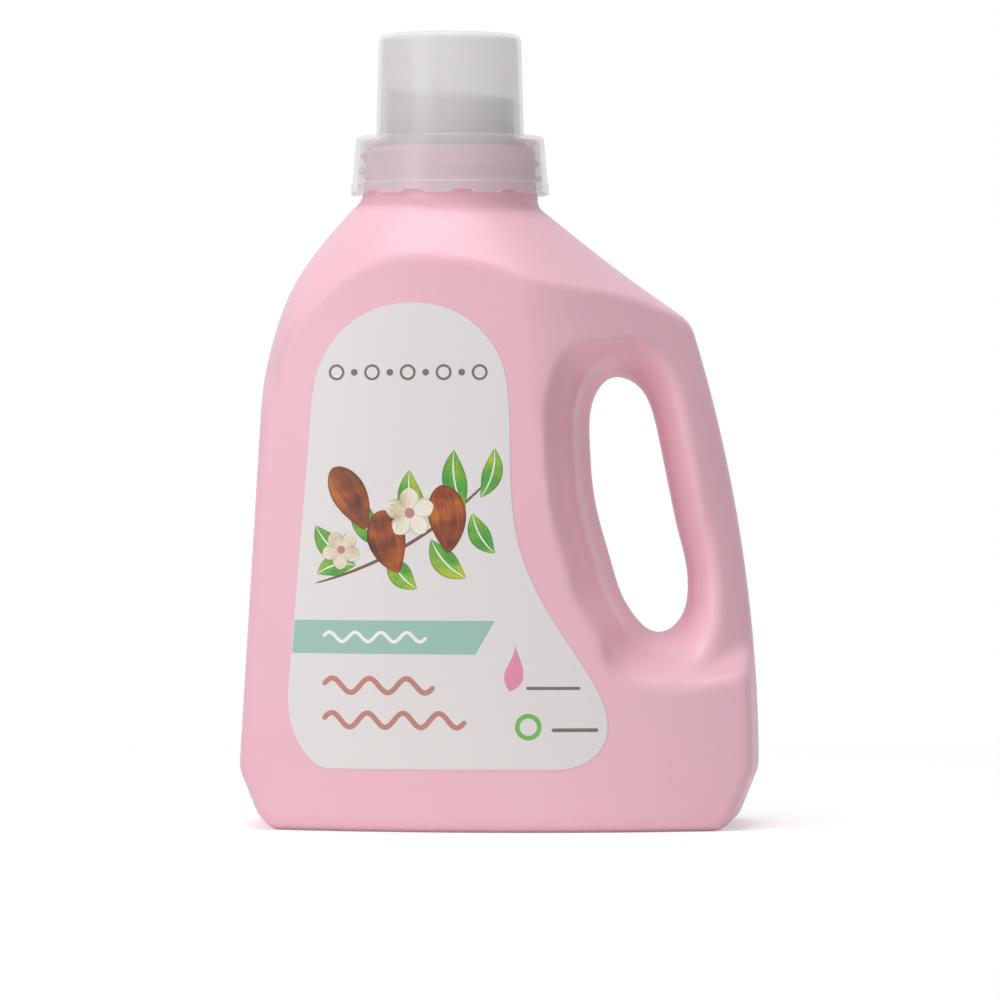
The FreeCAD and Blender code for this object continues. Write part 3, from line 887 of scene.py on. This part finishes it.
@dataclass
class DosingCap:
    """Screw cap and measuring cup in one: skirt with stepped rim, flat deck, seal plug and domed cup."""

    seat: float = 225.8
    deck: float = 227.3
    top: float = 261.8
    foot: float = 207.8
    cup_foot: float = 24.4
    cup_top: float = 23.5
    wall: float = 1.2
    corner: float = 3.0
    dome: float = 0.9
    seal: float = 5.0
    skirt_top: float = 31.0
    skirt_foot: float = 32.2
    skirt_wall: float = 1.5
    skirt_round: float = 1.8
    rim_height: float = 3.6
    rim_proud: float = 0.5
    tabs: int = 12
    slot_width: float = 7.1
    slot_height: float = 1.0
    slot_flank: float = 0.9
    first_slot: float = 10.7
    sides: int = 360

    def profile(self) -> np.ndarray:
        """The cap's half section, from the outer pole of the cup round to its inner pole."""
        edge = self.top - self.dome
        dome_out = np.linspace(0.0, self.cup_top - self.corner, 12)
        rise = self.dome * (1.0 - (dome_out / dome_out[-1]) ** 2)
        inner = self.cup_top - self.wall
        walls = rounded((
            (dome_out[-1], edge, 0.0),
            (self.cup_top, edge, self.corner),
            (self.cup_foot, self.deck, 0.35),
            (self.skirt_top, self.deck, self.skirt_round),
            (self.skirt_foot, self.foot + self.rim_height + self.rim_proud, 0.4),
            (self.skirt_foot + self.rim_proud, self.foot + self.rim_height, 0.25),
            (self.skirt_foot + self.rim_proud, self.foot, 0.2),
            (self.skirt_foot - self.skirt_wall, self.foot, 0.2),
            (self.skirt_top - self.skirt_wall, self.seat, 0.4),
            (self.cup_foot, self.seat, 0.2),
            (self.cup_foot, self.seat - self.seal, 0.2),
            (self.cup_foot - self.wall, self.seat - self.seal, 0.2),
            (self.cup_foot - self.wall, self.deck, 0.3),
            (inner, edge - self.wall, self.corner - self.wall),
            (dome_out[-1] - 0.3, edge - self.wall, 0.0),
        ), steps=7)
        outside = np.stack([dome_out, edge + rise], axis=1)[:-1]
        inside = np.stack([dome_out, edge + rise - self.wall], axis=1)[::-1][1:]
        return np.vstack([outside, walls, inside])

    def lift(self, radius: np.ndarray, height: np.ndarray, turn: np.ndarray) -> np.ndarray:
        """Raises the foot of the skirt between the rim's tabs, with slanted flanks.

        Args:
            radius: distance from the axis.
            height: height of each place.
            turn: angle round the axis, from +X.

        Returns:
            The extra height of each place.
        """
        step = 360.0 / self.tabs
        away = (np.degrees(turn) + 90.0 - self.first_slot + step / 2.0) % step - step / 2.0
        distance = np.abs(np.radians(away)) * (self.skirt_foot + self.rim_proud)
        open_share = np.clip((self.slot_width / 2.0 - distance) / self.slot_flank + 0.5, 0.0, 1.0)
        at_foot = (height < self.foot + 0.5) & (radius > self.cup_foot)
        return self.slot_height * open_share * at_foot

    def build(self) -> Object:
        """Turns the profile about the neck's axis and lifts the foot between the tabs."""
        profile = self.profile()
        angle = np.linspace(0.0, 2.0 * np.pi, self.sides, endpoint=False)
        radius, turn = np.meshgrid(profile[:, 0], angle, indexing="ij")
        height = np.repeat(profile[:, 1:2], self.sides, axis=1)
        points = about_neck(radius, turn, height + self.lift(radius, height, turn))
        return mesh_object("dosing_cap_shell", points, grid(len(profile), self.sides, round_columns=True))


@dataclass(frozen=True)
class PanelBow:
    """The bowed front panel that the label and its print lie on."""

    half_depth: float = 45.0
    bow_radius: float = 220.4

    def place(self, x: np.ndarray, z: np.ndarray, proud: np.ndarray | float) -> np.ndarray:
        """Lays flat points on the panel: y = radius - half depth - root(radius squared - x squared) - proud.

        Args:
            x: across the panel.
            z: up the panel.
            proud: how far off the panel.

        Returns:
            The points, three columns, in millimetres.
        """
        y = self.bow_radius - self.half_depth - np.sqrt(self.bow_radius**2 - x * x) - proud
        return np.stack(np.broadcast_arrays(x, y, z), axis=-1).reshape(-1, 3)


@dataclass
class FrontLabel:
    """Die-cut film label on the bowed panel, as one closed sheet."""

    panel: PanelBow
    sunk: float = 0.05
    proud: float = 0.20
    foot_z: float = 20.6
    foot_left: float = -53.5
    foot_right: float = 20.5
    left_low: Pair = (-66.3, 56.0)
    left_high: Pair = (-60.2, 127.0)
    left_corner: tuple[Pair, ...] = ((-62.4, 26.6), (-66.8, 38.0))
    sweep: tuple[Pair, ...] = (
        (-57.0, 150.5), (-50.5, 161.3), (-38.6, 169.4), (-26.4, 171.6), (-14.0, 169.4),
        (-4.0, 162.8), (2.6, 153.0), (5.2, 138.0), (5.6, 120.0), (8.8, 91.6),
        (15.5, 75.5), (26.7, 57.6), (35.0, 43.2), (36.5, 30.6), (31.2, 23.6),
    )
    centre: Pair = (-22.0, 62.0)
    corner_steps: int = 80
    crown_steps: int = 400
    around: int = 300
    rings: int = 20

    def outline(self) -> np.ndarray:
        """The die-cut outline: two straight stretches and two splines, spaced evenly."""
        low, high = np.array(self.left_low), np.array(self.left_high)
        up = (high - low) / np.linalg.norm(high - low)
        back = np.array([-1.0, 0.0])
        foot_left = np.array([self.foot_left, self.foot_z])
        foot_right = np.array([self.foot_right, self.foot_z])
        corner = spline(np.vstack([foot_left, self.left_corner, low]), back, up, self.corner_steps)
        crown = spline(np.vstack([high, self.sweep, foot_right]), up, back, self.crown_steps)
        return evenly(np.vstack([corner, crown]), self.around)

    def build(self) -> Object:
        """Fills the outline with rings about an inner point, in front and behind, joined round the edge."""
        edge = self.outline()
        centre = np.array(self.centre)
        shares = np.concatenate([np.linspace(0.0, 1.0, self.rings), np.linspace(1.0, 0.0, self.rings)])
        proud = np.repeat([self.proud, -self.sunk], self.rings)
        flat = centre + shares[:, None, None] * (edge - centre)
        points = self.panel.place(flat[..., 0], flat[..., 1], proud[:, None])
        return mesh_object("front_label_film", points, grid(len(shares), self.around, round_columns=True))


@dataclass
class Motif:
    """A printed shape on the label, as a thin closed sheet whose edge is a function of two parameters."""

    name: str
    panel: PanelBow
    proud: float
    thickness: float = 0.012
    merge_share: float = 0.1

    def sheet(self, flat: np.ndarray, along: np.ndarray, across: np.ndarray) -> Object:
        """Makes the thin sheet from a grid of places, with its own UV map.

        Args:
            flat: places across and up the panel, rows by columns by two.
            along: U of each place, in motif lengths.
            across: V of each place, 0 at the middle line and 1 at the edge.

        Returns:
            The object.
        """
        rows, columns = along.shape
        x, z = flat[..., 0], flat[..., 1]
        front = self.panel.place(x, z, self.proud)
        back = self.panel.place(x, z, self.proud - self.thickness)
        count = rows * columns
        quads = grid(rows, columns)
        numbers = np.arange(count).reshape(rows, columns)
        loop = np.concatenate([numbers[0, :-1], numbers[:-1, -1], numbers[-1, :0:-1], numbers[:0:-1, 0]])
        following = np.roll(loop, -1)
        side = np.stack([loop, following, following + count, loop + count], axis=1)
        faces = np.vstack([quads, quads[:, ::-1] + count, side])
        uv = np.stack([np.tile(along.ravel(), 2), np.tile(across.ravel(), 2)], axis=1)
        return mesh_object(self.name, np.vstack([front, back]), faces, uv, self.merge_share * self.thickness)

    def lattice(self, rows: int, columns: int, low: float = -1.0) -> tuple[np.ndarray, np.ndarray]:
        """Places along the motif, from 0 to 1, and across it, from the low value to 1."""
        return np.meshgrid(np.linspace(0.0, 1.0, rows), np.linspace(low, 1.0, columns), indexing="ij")

    def stroke(
        self, middle: np.ndarray, slope: np.ndarray, half: np.ndarray, t: np.ndarray, v: np.ndarray
    ) -> Object:
        """Lays a stroke along a middle line: each place goes sideways by v half widths.

        Args:
            middle: the middle line, rows by columns by two.
            slope: the way of the middle line there.
            half: half the stroke's width.
            t: places along the stroke.
            v: places across it, from -1 to 1.

        Returns:
            The object.
        """
        normal = np.stack([-slope[..., 1], slope[..., 0]], axis=-1)
        normal /= np.linalg.norm(normal, axis=-1, keepdims=True)
        return self.sheet(middle + normal * (half * v)[..., None], t, np.abs(v))

    def spindle(
        self, root: Pair, tip: Pair, width: float, bend: float, blunt: float = 1.0, shoulder: float = 0.0
    ) -> Object:
        """A leaf, petal, kernel or drop: a bent middle line with a half width of width/2 sin(pi t^s)^blunt.

        Args:
            root: where the middle line starts, across and up.
            tip: where it ends.
            width: widest width.
            bend: how far the middle line bows sideways, as a share of its length.
            blunt: under one gives rounder ends, over one finer points.
            shoulder: moves the widest place towards the tip, or with a minus sign towards the root.

        Returns:
            The object.
        """
        start = np.array(root)
        way = np.array(tip) - start
        side = np.array([-way[1], way[0]])
        t, v = self.lattice(41, 13)
        half = 0.5 * width * np.sin(np.pi * t ** 2.0**shoulder) ** blunt
        middle = start + way * t[..., None] + side * (bend * 4.0 * t * (1.0 - t))[..., None]
        slope = way + side * (bend * 4.0 * (1.0 - 2.0 * t))[..., None]
        return self.stroke(middle, slope, half, t, v)

    def band(self, low_left: Pair, low_right: Pair, high_left: Pair, high_right: Pair) -> Object:
        """A straight-sided band between four corners, bilinear between them."""
        t, v = self.lattice(49, 5, 0.0)
        low = np.array(low_left) + (np.array(low_right) - low_left) * t[..., None]
        high = np.array(high_left) + (np.array(high_right) - high_left) * t[..., None]
        return self.sheet(low + (high - low) * v[..., None], t, v)

    def wave(self, start: Pair, length: float, swing: float, pitch: float, width: float) -> Object:
        """A waving stroke with round ends: z = start + swing sin(2 pi s / pitch)."""
        t, v = self.lattice(241, 5)
        phase = 2.0 * np.pi * t * length / pitch
        middle = np.stack([start[0] + t * length, start[1] + swing * np.sin(phase)], axis=-1)
        slope = np.stack([np.ones_like(t), swing * 2.0 * np.pi / pitch * np.cos(phase)], axis=-1)
        reach = np.minimum(t, 1.0 - t) * length / (0.5 * width)
        half = 0.5 * width * np.sqrt(np.clip(1.0 - np.clip(1.0 - reach, 0.0, 1.0) ** 2, 0.0, 1.0))
        return self.stroke(middle, slope, half, t, v)

    def ring(self, centre: Pair, radius: float, width: float) -> Object:
        """A ring, or a disc where the width is the whole radius: x = cx + r cos a, z = cz + r sin a."""
        turn = np.linspace(0.0, 2.0 * np.pi, 65)
        a, r = np.meshgrid(turn, np.linspace(radius - width, radius, 5), indexing="ij")
        flat = np.stack([centre[0] + r * np.cos(a), centre[1] + r * np.sin(a)], axis=-1)
        return self.sheet(flat, a / (2.0 * np.pi), (r - radius + width) / width)


class Ink(Enum):
    """The inks of the label's print."""

    MINT = FlatInk("mint_ink", "#97C2B3")
    TERRACOTTA = FlatInk("terracotta_ink", "#BD7C72")
    SLATE = FlatInk("slate_brown_ink", "#6A625B")
    WHITE = FlatInk("white_ink", "#F6F3F2")
    PINK = FlatInk("rose_ink", "#E58CA8")
    GREEN = FlatInk("green_ink", "#6FB348")
    LEAF = PaintedInk(
        "leaf_wash_ink", ((0.34, "#1F6F2A"), (0.48, "#55A63C"), (0.62, "#C4CF33")), "#17452A", 0.16, 0.22
    )
    KERNEL = PaintedInk(
        "kernel_wash_ink", ((0.36, "#3A1A10"), (0.48, "#8A3F1A"), (0.60, "#C9702E")), "#2A120C", 0.10, 0.14
    )
    PETAL = PaintedInk(
        "petal_wash_ink", ((0.36, "#C9B48C"), (0.50, "#EFE7D6"), (0.62, "#FBF8F1")), "#94713F", 0.20, 0.30
    )
    STEM = FlatInk("stem_ink", "#6B4A2A")


Inked = list[tuple[Object, Ink]]


@dataclass
class LabelPrint:
    """The label's print: a sprig of kernels, blossoms and leaves, a mint band, wave rules and bubbles."""

    panel: PanelBow
    low: float = 0.215
    middle: float = 0.230
    vein: float = 0.237
    high: float = 0.245
    top: float = 0.260
    heart: float = 0.268
    petal_step: float = 0.001

    def motif(self, name: str, level: float) -> Motif:
        """A motif at one of the print's levels."""
        return Motif(f"print_{name}", self.panel, level)

    def leaves(self) -> Inked:
        """Rounded leaves in pairs along the sprig."""
        rows = (
            ((-46.0, 88.0), (-58.0, 99.5), 7.5, 0.10), ((-44.5, 86.5), (-57.5, 83.5), 7.0, -0.12),
            ((-37.0, 92.5), (-43.5, 110.0), 8.0, 0.10), ((-22.0, 97.5), (-27.0, 117.5), 8.5, 0.10),
            ((-20.0, 95.0), (-8.5, 82.5), 8.0, -0.10), ((-9.0, 104.0), (-12.5, 124.0), 8.0, 0.08),
            ((-6.5, 103.5), (0.8, 90.5), 7.0, -0.10), ((-4.0, 108.5), (0.5, 124.5), 6.5, -0.10),
            ((-33.0, 90.5), (-24.5, 79.0), 7.5, -0.12),
        )
        made = []
        for number, (root, tip, width, bend) in enumerate(rows, start=1):
            leaf = self.motif(f"leaf_{number}", self.middle)
            vein = self.motif(f"vein_{number}", self.vein)
            made.append((leaf.spindle(root, tip, width, bend, 0.9), Ink.LEAF))
            made.append((vein.spindle(root, tip, 0.5, bend, 0.6), Ink.WHITE))
        return made

    def kernels(self) -> Inked:
        """Almond-shaped kernels that hang from the sprig."""
        rows = (
            ((-52.5, 118.0), (-41.5, 98.0), 11.5, 0.04), ((-36.0, 104.5), (-30.5, 84.0), 12.5, -0.05),
            ((-17.0, 112.5), (-14.5, 90.5), 12.5, 0.05),
        )
        made = []
        for number, (root, tip, width, bend) in enumerate(rows, start=1):
            kernel = self.motif(f"kernel_{number}", self.high)
            made.append((kernel.spindle(root, tip, width, bend, 0.72, -0.35), Ink.KERNEL))
        return made

    def blossoms(self) -> Inked:
        """Five-petalled blossoms: petals turned evenly about a centre, with a small disc on top."""
        made = []
        rows = ((-27.0, 103.5, 8.2, 20.0), (-49.5, 91.5, 6.4, 50.0))
        for number, (x, z, size, turn) in enumerate(rows, start=1):
            for petal in range(5):
                angle = math.radians(turn + 72.0 * petal)
                tip = (x + size * math.cos(angle), z + size * math.sin(angle))
                sheet = self.motif(f"petal_{number}_{petal + 1}", self.top - self.petal_step * petal)
                made.append((sheet.spindle((x, z), tip, 0.78 * size, 0.0, 0.7, 0.5), Ink.PETAL))
            heart = self.motif(f"heart_{number}", self.heart)
            made.append((heart.ring((x, z), 0.2 * size, 0.2 * size), Ink.TERRACOTTA))
        return made

    def rules(self) -> Inked:
        """The sprig's stem, the mint band and the plain ornaments that stand where a label has its words."""
        low = self.low
        corners = ((-65.9, 57.9), (-5.6, 57.8), (-64.9, 68.7), (0.7, 68.7))
        made = [
            (self.motif("stem", low).spindle((-58.5, 80.5), (-1.5, 114.0), 1.1, -0.07, 0.3), Ink.STEM),
            (self.motif("band", low).band(*corners), Ink.MINT),
            (self.motif("band_wave", self.middle).wave((-55.5, 63.3), 34.0, 1.5, 8.5, 1.1), Ink.WHITE),
            (self.motif("wave_upper", low).wave((-55.5, 47.6), 36.5, 2.3, 12.2, 1.7), Ink.TERRACOTTA),
            (self.motif("wave_lower", low).wave((-55.5, 36.4), 46.8, 2.3, 11.7, 1.7), Ink.TERRACOTTA),
            (self.motif("drop", low).spindle((7.2, 61.0), (5.4, 46.0), 6.2, 0.06, 0.8, 0.8), Ink.PINK),
            (self.motif("drop_rule", low).wave((10.8, 46.9), 17.5, 0.0, 10.0, 1.0), Ink.SLATE),
            (self.motif("disc", low).ring((11.5, 34.4), 4.3, 1.5), Ink.GREEN),
            (self.motif("disc_rule", low).wave((19.0, 33.4), 15.0, 0.0, 10.0, 1.2), Ink.SLATE),
        ]
        for number in range(9):
            radius, width = ((2.6, 0.8), (1.1, 1.1))[number % 2]
            bubble = self.motif(f"bubble_{number + 1}", low)
            made.append((bubble.ring((-51.0 + 5.85 * number, 149.0), radius, width), Ink.SLATE))
        return made

    def build(self) -> Inked:
        """All motifs, each with its ink."""
        return self.rules() + self.leaves() + self.kernels() + self.blossoms()


def dress(made: Object, material: Material) -> None:
    """Gives an object one material."""
    made.data.materials.clear()
    made.data.materials.append(material)


def even_shading(node: Object) -> None:
    """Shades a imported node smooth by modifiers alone: its triangles are welded and split at edges."""
    weld = node.modifiers.new("weld", "WELD")
    weld.merge_threshold = MERGE_MM * MM
    split = node.modifiers.new("edges", "EDGE_SPLIT")
    split.split_angle = math.radians(SHARP_DEGREES)
    node.data.shade_smooth()


@dataclass
class Studio:
    """Plain white studio: pale floor, white surroundings, soft lamps and the camera."""

    eye_distance: float = 2000.0
    eye_height: float = 130.0
    yaw_degrees: float = 3.0
    focal_mm: float = 218.0
    sensor_mm: float = 36.0
    clip_metres: float = 50.0
    horizon_px: float = 431.0
    centre_px: float = 500.0
    frame_px: float = 1000.0
    ambient: float = 0.26
    floor_colour: str = "#F4F2F2"
    floor_lift: float = 0.42
    floor_near: float = 260.0
    floor_far: float = 620.0
    floor_size: float = 12000.0
    aim: tuple[float, float, float] = (0.0, 0.0, 130.0)

    def camera(self) -> None:
        """Sets the camera at the photograph's angle, level, with the shift that its framing needs."""
        data = bpy.data.cameras.new("camera")
        data.lens = self.focal_mm
        data.sensor_width = self.sensor_mm
        data.shift_y = (self.horizon_px - self.centre_px) / self.frame_px
        data.clip_end = self.clip_metres
        eye = linked("camera", data)
        yaw = math.radians(self.yaw_degrees)
        reach = self.eye_distance * MM
        eye.location = (reach * math.sin(yaw), -reach * math.cos(yaw), self.eye_height * MM)
        eye.rotation_euler = (math.pi / 2.0, 0.0, yaw)
        bpy.context.scene.camera = eye

    def seen(self, tree: NodeTree) -> NodeSocket:
        """One for rays that show the surroundings: camera, glossy and transmission rays."""
        path = add_node(tree, "ShaderNodeLightPath").outputs
        first = calculate(tree, "MAXIMUM", path["Is Camera Ray"], path["Is Transmission Ray"])
        return calculate(tree, "MAXIMUM", first, path["Is Glossy Ray"])

    def world(self) -> None:
        """White surroundings that light the object at the ambient level."""
        world = bpy.data.worlds.new("white_studio")
        tree = empty_tree(world)
        light, shown = (
            add_node(tree, "ShaderNodeBackground", {"Color": linear(WHITE), "Strength": strength})
            for strength in (self.ambient, 1.0)
        )
        mix = add_node(tree, "ShaderNodeMixShader", {
            "Fac": self.seen(tree), 1: light.outputs["Background"], 2: shown.outputs["Background"],
        })
        add_node(tree, "ShaderNodeOutputWorld", {"Surface": mix.outputs["Shader"]})
        bpy.context.scene.world = world

    def floor(self) -> None:
        """A pale floor that keeps the bottle's shadow and turns into the white surroundings further off."""
        half = self.floor_size / 2.0
        corners = np.array([[-half, -half, 0.0], [half, -half, 0.0], [half, half, 0.0], [-half, half, 0.0]])
        made = mesh_object("floor", corners, np.array([[0, 1, 2, 3]]))
        material = bpy.data.materials.new("painted_white_floor")
        tree = empty_tree(material)
        paint = add_node(tree, "ShaderNodeBsdfDiffuse", {"Color": linear(self.floor_colour)})
        seen = self.seen(tree)
        lift = calculate(tree, "MULTIPLY", seen, self.floor_lift)
        glow = add_node(tree, "ShaderNodeEmission", {"Color": linear(WHITE), "Strength": lift})
        both = add_node(tree, "ShaderNodeAddShader", {0: paint.outputs["BSDF"], 1: glow.outputs["Emission"]})
        away = add_node(tree, "ShaderNodeVectorMath", {0: object_place(tree)}, operation="LENGTH")
        reach = (self.floor_near * MM, self.floor_far * MM)
        share = remap(tree, away.outputs["Value"], reach, way="SMOOTHSTEP")
        shown = calculate(tree, "MULTIPLY", share, seen)
        white = add_node(tree, "ShaderNodeEmission", {"Color": linear(WHITE), "Strength": 1.0})
        mixed = add_node(tree, "ShaderNodeMixShader", {
            "Fac": shown, 1: both.outputs["Shader"], 2: white.outputs["Emission"],
        })
        add_node(tree, "ShaderNodeOutputMaterial", {"Surface": mixed.outputs["Shader"]})
        dress(made, material)

    def lamp(self, name: str, place: tuple[float, float, float], size: Pair, watts: float) -> None:
        """Hangs a soft rectangular lamp that faces the middle of the bottle.

        Args:
            name: the lamp's name.
            place: where it hangs, in millimetres.
            size: its width and height, in millimetres.
            watts: its power.
        """
        data = bpy.data.lights.new(name, "AREA")
        data.shape = "RECTANGLE"
        data.size, data.size_y = size[0] * MM, size[1] * MM
        data.energy = watts
        lamp = linked(name, data)
        lamp.location = [value * MM for value in place]
        aim = np.array(self.aim) - np.array(place)
        yaw = math.atan2(aim[1], aim[0])
        pitch = math.atan2(aim[2], math.hypot(aim[0], aim[1]))
        lamp.rotation_euler = (math.pi / 2.0 + pitch, 0.0, yaw - math.pi / 2.0)

    def build(self) -> None:
        """Builds camera, surroundings, floor and lamps."""
        self.camera()
        self.world()
        self.floor()
        self.lamp("key_left", (-1050.0, -1120.0, 560.0), (800.0, 900.0), 8.0)
        self.lamp("fill_front", (200.0, -1600.0, 500.0), (900.0, 900.0), 1.5)
        self.lamp("top", (-60.0, -240.0, 1250.0), (900.0, 700.0), 8.3)


def add_piece(
    made: Object, material: Material, body: Body, stands_for: Part | None = None
) -> None:
    """Dresses a piece, rides it on its body and hides the node it stands for.

    Args:
        made: the piece.
        material: its finish.
        body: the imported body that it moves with.
        stands_for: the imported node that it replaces, or None.
    """
    dress(made, material)
    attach(made, body.value)
    if stands_for is not None:
        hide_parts(stands_for.value)
    LOG.info("%s: %d faces", made.name, len(made.data.polygons))


def main() -> None:
    """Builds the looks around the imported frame, piece by piece."""
    logging.basicConfig(level=logging.INFO, format="%(message)s")
    bpy.context.scene.view_settings.view_transform = "Standard"
    for item in list(bpy.data.objects):
        bpy.data.objects.remove(item)
    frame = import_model()
    nodes = frame["nodes"]
    studio = Studio()
    studio.build()

    pink = BlownPolyethylene().material()
    bottle = BottleBody().build(nodes[Part.BOTTLE.value])
    add_piece(bottle, pink, Body.BOTTLE, Part.BOTTLE)
    add_piece(NeckThread().build(), pink, Body.BOTTLE)

    milky = MilkyPolymer(
        "polypropylene_natural_milky", "#EAE5E9", alpha=0.32, roughness=0.26, ior=1.49
    ).material()
    add_piece(DosingCap().build(), milky, Body.CAP, Part.CAP)
    add_piece(CapThread().build(), milky, Body.CAP)

    spout = nodes[Part.SPOUT.value]
    natural = MilkyPolymer("ldpe_natural_milky", "#F6F5F5", alpha=0.28, roughness=0.34, ior=1.51)
    dress(spout, natural.material())
    even_shading(spout)

    panel = PanelBow()
    label = FrontLabel(panel).build()
    add_piece(label, PrintedFilm().material(), Body.BOTTLE, Part.LABEL)
    inks = {ink: ink.value.material() for ink in Ink}
    for motif, ink in LabelPrint(panel).build():
        add_piece(motif, inks[ink], Body.BOTTLE)


if __name__ == "__main__":
    main()
